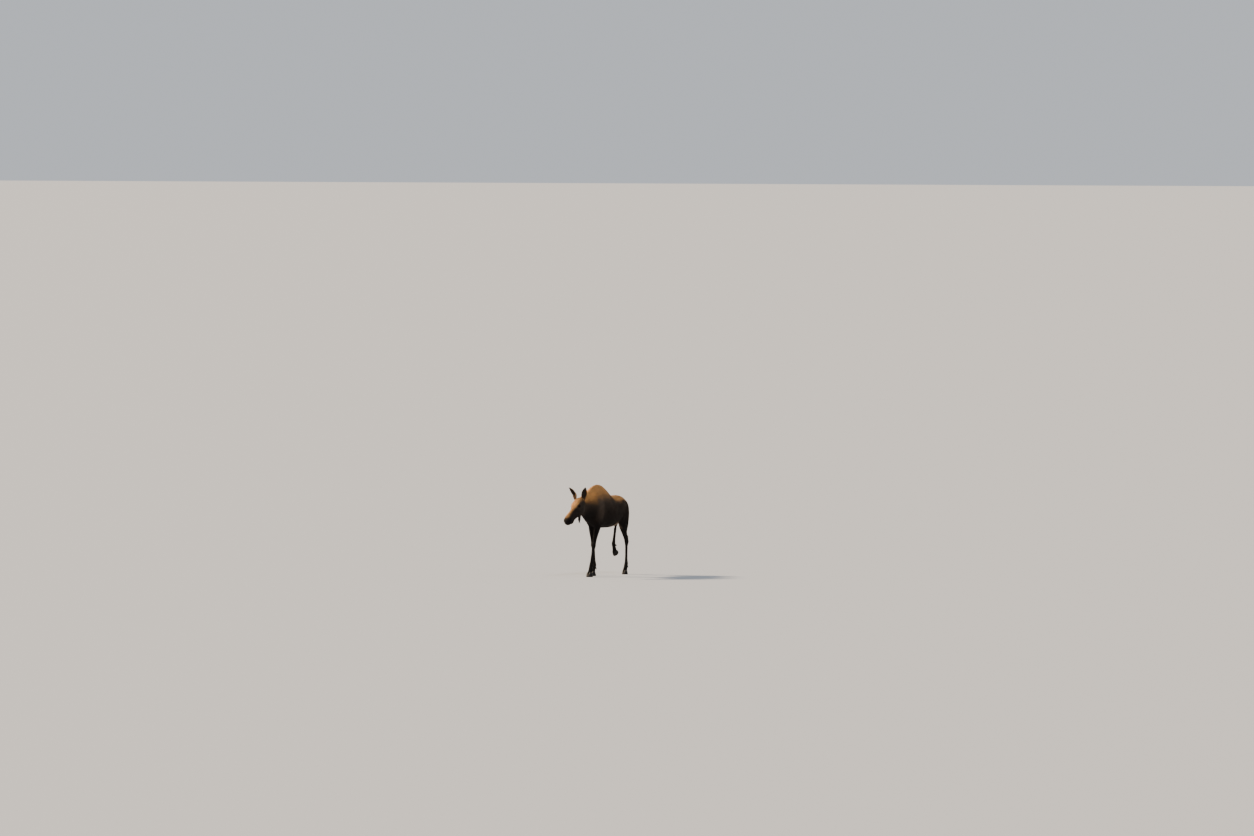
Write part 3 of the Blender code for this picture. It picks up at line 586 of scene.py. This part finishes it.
def cut_nostril(p, n, side):
    """A slanting comma of a hollow with a raised rim, on the side of the muzzle."""
    sign = 1 if side == "left" else -1
    local = to_head(p)
    offset = local - np.array((NOSTRIL[0], sign * NOSTRIL[1], NOSTRIL[2]))
    slant = unit(np.array((0.52, 0, -0.85)))
    across = np.array((0.85, 0, 0.52))
    reach = 0.028
    length = offset @ slant
    breadth = offset @ across + 0.008 * (length / reach) ** 2
    half = 0.0082 + 0.0034 * np.clip(length / reach, -1, 1)
    share = np.sqrt((length / reach) ** 2 + (breadth / half) ** 2)
    here = (local[:, 1] * sign > 0.012) & (np.linalg.norm(offset, axis=1) < 0.085)
    hollow = -0.016 * smooth(1.0, 0.35, share)
    rim = 0.0032 * np.exp(-((share - 1.45) / 0.38) ** 2)
    return p + n * ((hollow + rim) * here)[:, None], smooth(1.10, 0.7, share) * here


def cut_mouth(p, n):
    """The line between the lips, from under the nose back to the corner."""
    local = to_head(p)
    along, _, up = local.T
    line = np.interp(along, (0.395, 0.42, 0.47, 0.520, 0.560), (-0.163, -0.167, -0.173, -0.178, -0.180))
    near = np.exp(-((up - line) / 0.0034) ** 2)
    span = smooth(0.398, 0.420, along) * smooth(0.56, 0.53, along)
    lip = np.exp(-((up - line - 0.013) / 0.008) ** 2)
    push = (-0.0050 * near + 0.0020 * lip) * span
    return p + n * push[:, None], near * span


def shape_head(skin, region):
    """Folds of the head, in the skin after the coat's depth is taken off. Gives how bare each point is."""
    is_head = is_in(region, "head")
    p = read_points(skin.data)
    n = read_normals(skin.data)
    q, mouth = cut_mouth(p, n)
    p = np.where(is_head[:, None], q, p)
    bare = mouth * is_head
    for side in SIDES:
        q, hollow = cut_nostril(p, n, side)
        p = np.where(is_head[:, None], q, p)
        bare = np.maximum(bare, hollow * is_head)
    for side in SIDES:
        p = np.where(is_head[:, None], set_lids(p, side), p)
        local = (p - eye_centre(side)) @ eye_frame(side).T
        share = lid_share(local[:, 0], local[:, 1])
        lid = smooth(1.50, 1.25, share) * (local[:, 2] > 0) * (np.linalg.norm(local, axis=1) < 0.05)
        bare = np.maximum(bare, lid)
    write_points(skin.data, p)
    return bare


# ---------------------------------------------------------------- tufts

SPACING = {
    "trunk": 0.0058, "neck": 0.0057, "head": 0.0041, "bell": 0.0052, "tail": 0.0052,
    "ear": 0.0038, "leg": 0.0058, "cannon": 0.0048,
}
PIECES = {"trunk": 7, "neck": 2, "head": 3}     # all others are one mesh each
HEAD_TUFT = 0.0076      # size of the tufts for which the head's spacing is meant


def scatter(skin, gaps):
    """Places evenly spread on the skin: three corners of a face, and the share of each.

    gaps holds the spacing that is wanted at every point.
    """
    mesh = skin.data
    mesh.calc_loop_triangles()
    tris = np.empty(len(mesh.loop_triangles) * 3, dtype=np.int32)
    mesh.loop_triangles.foreach_get("vertices", tris)
    tris = tris.reshape(-1, 3)
    p = read_points(mesh)
    a, b, c = p[tris[:, 0]], p[tris[:, 1]], p[tris[:, 2]]
    area = np.linalg.norm(np.cross(b - a, c - a), axis=1) / 2
    gap = gaps[tris].mean(axis=1)
    wanted = area / gap ** 2
    weight = np.cumsum(wanted * 3.2)
    total = int(weight[-1])
    chosen = np.searchsorted(weight, rng.uniform(0, weight[-1], total))
    u = rng.uniform(size=total)
    v = rng.uniform(size=total)
    flip = u + v > 1
    u[flip], v[flip] = 1 - u[flip], 1 - v[flip]
    shares = np.stack([1 - u - v, u, v], axis=1)
    place = (p[tris[chosen]] * shares[:, :, None]).sum(axis=1)
    # one to each cell of a fine grid, so that they neither crowd nor leave gaps
    cell = np.floor(place / (gap[chosen] * 1.20)[:, None]).astype(np.int64)
    key = (cell[:, 0] * 73856093) ^ (cell[:, 1] * 19349663) ^ (cell[:, 2] * 83492791)
    _, first = np.unique(key, return_index=True)
    return tris[chosen[first]], shares[first]


def at(values, corners, shares):
    """Values of the skin's points, read at the scattered places."""
    picked = values[corners]
    if picked.ndim == 3:
        return (picked * shares[:, :, None]).sum(axis=1)
    return (picked * shares).sum(axis=1)


# A tuft is a flat three-sided lancet: two rings and a tip, closed at the root.
WIDEST = 0.40                           # share of the length at which it is widest
RINGS = ((0.0, 0.62), (WIDEST, 1.0))    # share of the length, and of the width
TUFT_FACES = np.array((
    (0, 3, 4), (0, 4, 1), (1, 4, 5), (1, 5, 2), (2, 5, 3), (2, 3, 0),
    (3, 6, 4), (4, 6, 5), (5, 6, 3), (0, 1, 2)))
TUFT_ACROSS = (0.0, 0.5, 1.0, 0.0, 0.5, 1.0, 0.5)
TUFT_ALONG = (0.0, 0.0, 0.0, WIDEST, WIDEST, WIDEST, 1.0)
TUFT_PATCH = 0.0030                     # side of a tuft's patch on the bake map
ROOT_DEPTH = 0.0022                     # by which a tuft starts under the skin


def tuft_points(root, normal, lie, length, width, depth, lift):
    """Corners of every tuft: it leaves the skin, bends over and lies along it."""
    count = len(root)
    side = unit(np.cross(normal, lie))
    swing = rng.normal(0, 0.16, count)
    curl = rng.normal(0, 0.10, count)
    lie = unit(lie + side * swing[:, None])
    side = np.cross(normal, lie)
    thick = width * 0.34
    corners = []
    for share, breadth in RINGS:
        height = np.full(count, -ROOT_DEPTH) if share == 0 else depth * lift
        middle = root + lie * (length * share)[:, None] + normal * height[:, None]
        middle = middle + side * (length * curl * share * share)[:, None]
        half = (width * breadth / 2)[:, None]
        corners += [middle - side * half, middle + normal * (thick * breadth)[:, None], middle + side * half]
    tip_height = depth * rng.uniform(0.55, 0.98, count)
    tip = root + lie * length[:, None] + normal * tip_height[:, None] + side * (length * curl)[:, None]
    corners.append(tip)
    return np.stack(corners, axis=1)


def unwrap(points, axis_value, centre_line):
    """Angle round a centre line, and the place along it, both 0..1."""
    low, high = axis_value.min(), axis_value.max()
    share = (axis_value - low) / max(high - low, 1e-6)
    bins = np.linspace(0, 1, 25)
    which = np.clip((share * 24).astype(int), 0, 24)
    line = []
    for k in range(25):
        members = centre_line[np.abs(which - k) <= 1]
        line.append(members.mean(axis=0) if len(members) else centre_line.mean(axis=0))
    line = np.array(line)
    cx = np.interp(share, bins, line[:, 0])
    cy = np.interp(share, bins, line[:, 1])
    angle = np.arctan2(centre_line[:, 0] - cx, centre_line[:, 1] - cy)
    return np.stack([angle / math.tau + 0.5, share], axis=1)


def piece_map(name, root):
    """The skin's own unwrap for one piece of the coat, filled from edge to edge."""
    if "trunk" in name or "neck" in name:
        uv = unwrap(root, root[:, 1], np.stack([root[:, 0], root[:, 2]], axis=1))
    elif "head" in name:
        local = to_head(root)
        uv = unwrap(root, local[:, 0], local[:, 1:])
    elif "ear_" in name:
        base, tip = EARS["left" if "left" in name else "right"]
        axis = unit(tip - base)
        side = unit(np.cross(axis, (0.0, 1.0, 0.0)))
        other = np.cross(axis, side)
        reach = (root - base) @ axis
        uv = unwrap(root, reach, np.stack([(root - base) @ side, (root - base) @ other], axis=1))
    else:
        uv = unwrap(root, root[:, 2], root[:, :2])
    low, high = uv.min(axis=0), uv.max(axis=0)
    return 0.01 + (uv - low) / np.maximum(high - low, 1e-6) * 0.975


def make_tufts(name, root, fields, material):
    """One joined mesh of tufts, with its bake map, its colours and its hair map."""
    count = len(root)
    points = tuft_points(
        root, fields["normal"], fields["lie"], fields["length"], fields["width"],
        fields["depth"], fields["lift"])
    each = points.shape[1]
    faces = (TUFT_FACES[None] + (np.arange(count) * each)[:, None, None]).reshape(-1, 3)
    thing = mesh_object(name, points.reshape(-1, 3), faces)
    mesh = thing.data
    corner = np.empty(len(mesh.loops), dtype=np.int32)
    mesh.loops.foreach_get("vertex_index", corner)
    owner = corner // each
    place = corner % each
    across = np.array(TUFT_ACROSS)[place]
    along = np.array(TUFT_ALONG)[place]
    home = piece_map(name, root)
    bake = mesh.uv_layers.new(name="OFBake")
    patch = np.stack([(across - 0.5) * TUFT_PATCH, along * TUFT_PATCH], axis=1)
    bake.data.foreach_set("uv", (home[owner] + patch).astype(np.float32).ravel())
    hair = mesh.uv_layers.new(name="hair")
    start = rng.uniform(0, 40, (count, 2))
    strand = np.stack([across + start[owner, 0], along * 0.5 + start[owner, 1]], axis=1)
    hair.data.foreach_set("uv", strand.astype(np.float32).ravel())
    tone = rng.normal(1.0, 0.15, count).clip(0.6, 1.45)
    point_along = np.tile(np.array(TUFT_ALONG), count)
    fade = 0.72 + 0.42 * point_along
    colour = np.repeat(fields["colour"] * tone[:, None], each, axis=0) * fade[:, None]
    write_colour(mesh, colour)
    mesh.materials.append(material)
    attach(thing, "root")


def write_colour(mesh, colour):
    """Stores a colour for every point, which the materials read."""
    layer = mesh.color_attributes.new(name="coat", type="FLOAT_COLOR", domain="POINT")
    data = np.concatenate([np.clip(colour, 0, 1), np.ones((len(colour), 1))], axis=1)
    layer.data.foreach_set("color", data.astype(np.float32).ravel())


def clothe(skin, region, fields, bare, material):
    """The whole coat, one mesh for each stretch of the body."""
    spacing = np.empty(len(FLESH))
    for name, k in REGION.items():
        kind = next(word for word in SPACING if word in name and (word != "leg" or name.endswith("_leg")))
        spacing[k] = SPACING[kind] * 1
    gaps = spacing[region]
    small = np.sqrt(fields["length"] * fields["width"]) / HEAD_TUFT
    gaps = np.where(is_in(region, "head"), gaps * np.clip(small, 0.60, 1), gaps)
    corners, shares = scatter(skin, gaps)
    p = read_points(skin.data)
    n = read_normals(skin.data)
    keep = at(bare, corners, shares) < 0.25
    corners, shares = corners[keep], shares[keep]
    root = at(p, corners, shares)
    carried = ("depth", "length", "width", "lift", "colour")
    values = {name: at(fields[name], corners, shares) for name in carried}
    values["normal"] = unit(at(n, corners, shares))
    lie = at(fields["lie"], corners, shares)
    values["lie"] = unit(lie - values["normal"] * np.sum(lie * values["normal"], axis=1, keepdims=True))
    # locks part a little this way and that
    drift = wander(root, 0.030, 21) * 0.28
    side = np.cross(values["normal"], values["lie"])
    values["lie"] = unit(values["lie"] + side * drift[:, None])
    values["length"] = values["length"] * rng.uniform(0.72, 1.18, len(root))
    values["width"] = values["width"] * rng.uniform(0.75, 1.25, len(root))
    place = region[corners[:, 0]]
    for name, k in REGION.items():
        members = np.flatnonzero(place == k)
        parts = PIECES.get(name, 1)
        order = to_head(root[members])[:, 0] if name == "head" else root[members, 1]
        members = members[np.argsort(order, kind="stable")]
        for part, chosen in enumerate(np.array_split(members, parts)):
            label = f"coat_{name}" + (f"_{part + 1}" if parts > 1 else "")
            own = {key: value[chosen] for key, value in values.items()}
            make_tufts(label, root[chosen], own, material)


# ---------------------------------------------------------------- materials

def new_material(name):
    """A material, its node tree and its shader."""
    material = bpy.data.materials.new(name)
    material.use_nodes = True
    return material, material.node_tree, material.node_tree.nodes["Principled BSDF"]


def join_nodes(tree, source, output, target, socket):
    tree.links.new(source.outputs[output], target.inputs[socket])


def hair_material(name, strength):
    """Coat colour from the mesh, broken by fine streaks: along each tuft, or as grain in the hide."""
    material, tree, shader = new_material(name)
    tone = tree.nodes.new("ShaderNodeAttribute")
    tone.attribute_name = "coat"
    streak = tree.nodes.new("ShaderNodeTexNoise")
    streak.inputs["Detail"].default_value = 2.0
    if name == "hair":
        place = tree.nodes.new("ShaderNodeUVMap")
        place.uv_map = "hair"
        stretch = tree.nodes.new("ShaderNodeMapping")
        stretch.inputs["Scale"].default_value = (6.0, 1.2, 1.0)
        join_nodes(tree, place, "UV", stretch, "Vector")
        join_nodes(tree, stretch, "Vector", streak, "Vector")
        streak.inputs["Scale"].default_value = 1.0
    else:
        place = tree.nodes.new("ShaderNodeTexCoord")
        join_nodes(tree, place, "Object", streak, "Vector")
        streak.inputs["Scale"].default_value = 420.0
    level = tree.nodes.new("ShaderNodeMapRange")
    level.inputs["From Min"].default_value = 0.3
    level.inputs["From Max"].default_value = 0.7
    level.inputs["To Min"].default_value = 0.72
    level.inputs["To Max"].default_value = 1.22
    join_nodes(tree, streak, "Fac", level, "Value")
    shade = tree.nodes.new("ShaderNodeMix")
    shade.data_type = "RGBA"
    shade.blend_type = "MULTIPLY"
    shade.inputs["Factor"].default_value = 1.0
    tree.links.new(tone.outputs["Color"], shade.inputs[6])
    tree.links.new(level.outputs["Result"], shade.inputs[7])
    tree.links.new(shade.outputs[2], shader.inputs["Base Color"])
    bump = tree.nodes.new("ShaderNodeBump")
    bump.inputs["Strength"].default_value = strength
    bump.inputs["Distance"].default_value = 0.002
    join_nodes(tree, streak, "Fac", bump, "Height")
    join_nodes(tree, bump, "Normal", shader, "Normal")
    shader.inputs["Roughness"].default_value = 0.72
    shader.inputs["Specular IOR Level"].default_value = 0.11
    return material


def horn_material():
    """Dark worn horn, with fine growth rings and a mottled tone."""
    material, tree, shader = new_material("horn")
    place = tree.nodes.new("ShaderNodeTexCoord")
    rings = tree.nodes.new("ShaderNodeTexWave")
    rings.bands_direction = "Z"
    rings.inputs["Scale"].default_value = 46.0
    rings.inputs["Distortion"].default_value = 2.6
    rings.inputs["Detail"].default_value = 2.0
    join_nodes(tree, place, "Object", rings, "Vector")
    grain = tree.nodes.new("ShaderNodeTexNoise")
    grain.inputs["Scale"].default_value = 55.0
    grain.inputs["Detail"].default_value = 6.0
    join_nodes(tree, place, "Object", grain, "Vector")
    ramp = tree.nodes.new("ShaderNodeValToRGB")
    ramp.color_ramp.elements[0].position = 0.34
    ramp.color_ramp.elements[0].color = (0.0050, 0.0040, 0.0034, 1)
    ramp.color_ramp.elements[1].position = 0.80
    ramp.color_ramp.elements[1].color = (0.014, 0.0105, 0.0080, 1)
    join_nodes(tree, grain, "Fac", ramp, "Fac")
    join_nodes(tree, ramp, "Color", shader, "Base Color")
    bump = tree.nodes.new("ShaderNodeBump")
    bump.inputs["Strength"].default_value = 0.30
    bump.inputs["Distance"].default_value = 0.0012
    join_nodes(tree, rings, "Fac", bump, "Height")
    join_nodes(tree, bump, "Normal", shader, "Normal")
    shader.inputs["Roughness"].default_value = 0.55
    shader.inputs["Specular IOR Level"].default_value = 0.16
    return material


def make_horn(name, grain, rounds, triangles, material):
    """A rounded, finer body in place of a claw or dewclaw."""
    bm = bmesh.new()
    bm.from_mesh(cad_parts[name].data)
    bmesh.ops.remove_doubles(bm, verts=bm.verts, dist=SAME_POINT)
    mesh = bpy.data.meshes.new("horn_" + name)
    bm.to_mesh(mesh)
    bm.free()
    horn = bpy.data.objects.new("horn_" + name, mesh)
    bpy.context.scene.collection.objects.link(horn)
    remesh = horn.modifiers.new("fine", "REMESH")
    remesh.mode = "VOXEL"
    remesh.voxel_size = grain
    apply_modifiers(horn)
    points = read_points(horn.data)
    points = spread(read_edges(horn.data), points, rounds, strength=(0.55, -0.50))
    points[:, 2] = np.maximum(points[:, 2], 0)
    write_points(horn.data, points)
    thin = horn.modifiers.new("fewer faces", "DECIMATE")
    thin.ratio = min(1, triangles / (2 * len(horn.data.polygons)))
    apply_modifiers(horn)
    horn.data.shade_smooth()
    horn.data.materials.clear()
    horn.data.materials.append(material)
    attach(horn, "root")
    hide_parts(name)


IRIS = 0.78                     # radius of the iris, as a share of the eyeball's
PUPIL = (0.0120, 0.0072)        # half length and half height of the pupil
IRIS_BROWN = np.array((0.022, 0.0100, 0.0048))
IRIS_RIM = np.array((0.008, 0.005, 0.004))
EYE_WHITE = np.array((0.012, 0.009, 0.008))     # dark in a moose, and mostly hidden
PUPIL_BLACK = np.array((0.003, 0.003, 0.004))
SPOKES = 23                     # streaks round the iris


def eye_material():
    """Deep brown eye with a wide dark pupil, wet on the surface."""
    material, tree, shader = new_material("eye")
    tone = tree.nodes.new("ShaderNodeAttribute")
    tone.attribute_name = "coat"
    join_nodes(tree, tone, "Color", shader, "Base Color")
    shader.inputs["Roughness"].default_value = 0.07
    shader.inputs["Specular IOR Level"].default_value = 0.05
    shader.inputs["Coat Weight"].default_value = 0.06
    shader.inputs["Coat Roughness"].default_value = 0.02
    return material


def make_eye(side, material):
    """A round ball with iris and pupil marked on it."""
    bpy.ops.object.select_all(action="DESELECT")
    bpy.ops.mesh.primitive_uv_sphere_add(segments=96, ring_count=56, radius=EYE_RADIUS, location=(0, 0, 0))
    eye = bpy.context.object
    eye.name = "eyeball_" + side
    axes = eye_frame(side)
    mesh = eye.data
    local = read_points(mesh)
    x, y = local[:, 0], local[:, 1]
    iris = np.sqrt(x ** 2 + y ** 2) / (EYE_RADIUS * IRIS)
    pupil = np.sqrt((x / PUPIL[0]) ** 2 + (y / PUPIL[1]) ** 2)
    spokes = 1 + 0.18 * np.sin(np.arctan2(y, x) * SPOKES)
    colour = np.tile(IRIS_BROWN, (len(local), 1)) * spokes[:, None]
    colour = mix(colour, IRIS_RIM, smooth(0.70, 1.0, iris))
    colour = mix(colour, EYE_WHITE, smooth(1.0, 1.12, iris))
    colour = mix(colour, PUPIL_BLACK, smooth(1.10, 0.90, pupil))
    write_points(mesh, eye_centre(side) + local @ axes)
    if np.linalg.det(axes) < 0:
        mesh.flip_normals()
    write_colour(mesh, colour)
    mesh.shade_smooth()
    mesh.materials.append(material)
    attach(eye, "root")
    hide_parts("eye_" + side)


LASHES = 30


def make_lashes(side, material):
    """Dark lashes along the edge of the upper lid."""
    axes = eye_frame(side)
    turn = np.linspace(math.radians(22), math.radians(158), LASHES)
    x = APERTURE[0] * np.cos(turn) * 1.02
    y = APERTURE[1] * np.sin(turn) * 1.02
    z = np.sqrt((EYE_RADIUS + LID * 0.8) ** 2 - x ** 2 - y ** 2)
    root = eye_centre(side) + np.stack([x, y, z], axis=1) @ axes
    lie = unit(np.stack([0.5 * np.cos(turn), np.full(LASHES, 0.30), np.full(LASHES, 0.85)], axis=1)) @ axes
    fields = {
        "normal": unit(np.cross(lie, axes[0])),
        "lie": lie,
        "length": np.full(LASHES, 0.013),
        "width": np.full(LASHES, 0.0013),
        "depth": np.full(LASHES, 0.0020),
        "lift": np.full(LASHES, 0.1),
        "colour": np.tile(DARK * 0.8, (LASHES, 1)),
    }
    make_tufts("coat_head_lashes_" + side, root, fields, material)


# ---------------------------------------------------------------- studio

def make_floor():
    """A plain pale floor that runs out of sight."""
    bpy.ops.object.select_all(action="DESELECT")
    bpy.ops.mesh.primitive_plane_add(size=1500, location=(0, 0, 0))
    floor = bpy.context.object
    floor.name = "floor"
    material, tree, shader = new_material("floor")
    shader.inputs["Base Color"].default_value = (0.38, 0.395, 0.42, 1)
    shader.inputs["Roughness"].default_value = 0.9
    floor.data.materials.append(material)


def make_sun(name, direction, strength, colour, spread_angle):
    """Light from a direction, softened by its spread in degrees."""
    light = bpy.data.lights.new(name, "SUN")
    light.energy = strength
    light.color = colour
    light.angle = math.radians(spread_angle)
    lamp = bpy.data.objects.new(name, light)
    bpy.context.scene.collection.objects.link(lamp)
    lamp.rotation_euler = Vector(direction).to_track_quat("Z", "Y").to_euler()


def make_studio():
    """A warm low key light from the animal's right, a weak cool one from the front, and a pale sky."""
    make_floor()
    make_sun("key", (-0.86, 0.03, 0.54), 10.0, (1.0, 0.79, 0.55), 8)
    make_sun("fill", (0.60, -0.80, 0.90), 1.0, (0.90, 0.95, 1.0), 9)
    world = bpy.data.worlds.new("studio")
    bpy.context.scene.world = world
    world.use_nodes = True
    back = world.node_tree.nodes["Background"]
    back.inputs["Color"].default_value = (0.80, 0.84, 0.90, 1)
    back.inputs["Strength"].default_value = 0.72


AZIMUTH = math.radians(26)
ELEVATION = math.radians(1.5)
LENS = 400.0
DISTANCE = 277.0
AIM = Vector((0.3300, 0.6547, 3.1265))


def make_camera():
    """A long lens far off, with the animal small and low in the frame."""
    level = math.cos(ELEVATION)
    back = Vector((math.sin(AZIMUTH) * level, -math.cos(AZIMUTH) * level, math.sin(ELEVATION)))
    data = bpy.data.cameras.new("camera")
    data.lens = LENS
    data.sensor_width = 36
    data.clip_start = 0.5
    data.clip_end = 2000
    camera = bpy.data.objects.new("camera", data)
    bpy.context.scene.collection.objects.link(camera)
    camera.location = AIM + back * DISTANCE
    camera.rotation_euler = back.to_track_quat("Z", "Y").to_euler()
    bpy.context.scene.camera = camera


# ---------------------------------------------------------------- build

CLAW_SHAPE = (0.0022, 120, 5200)        # grain, rounds of smoothing, triangles
DEWCLAW_SHAPE = (0.0013, 140, 1400)


def build():
    """Skin, coat, eyes, lashes and horn, in the solids' places."""
    skin, tree, owner = make_skin()
    region = region_of(read_points(skin.data), tree, owner)
    fields = even_fields(skin, region)
    p = read_points(skin.data)
    write_points(skin.data, p - read_normals(skin.data) * fields["depth"][:, None])
    refine_head(skin)
    region = region_of(read_points(skin.data), tree, owner)
    bare = shape_head(skin, region)
    fields = even_fields(skin, region)
    write_colour(skin.data, fields["colour"] * (0.85 - 0.35 * bare)[:, None])
    skin.data.shade_smooth()
    skin.data.materials.append(hair_material("hide", 0.35))
    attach(skin, "root")
    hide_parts(*FLESH)
    hair = hair_material("hair", 0.25)
    clothe(skin, region, fields, bare, hair)
    eye = eye_material()
    for side in SIDES:
        make_eye(side, eye)
        make_lashes(side, hair)
    horn = horn_material()
    for name in list(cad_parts):
        if name.startswith("claw_"):
            make_horn(name, *CLAW_SHAPE, horn)
        elif name.startswith("dewclaw_"):
            make_horn(name, *DEWCLAW_SHAPE, horn)


build()
make_studio()
make_camera()
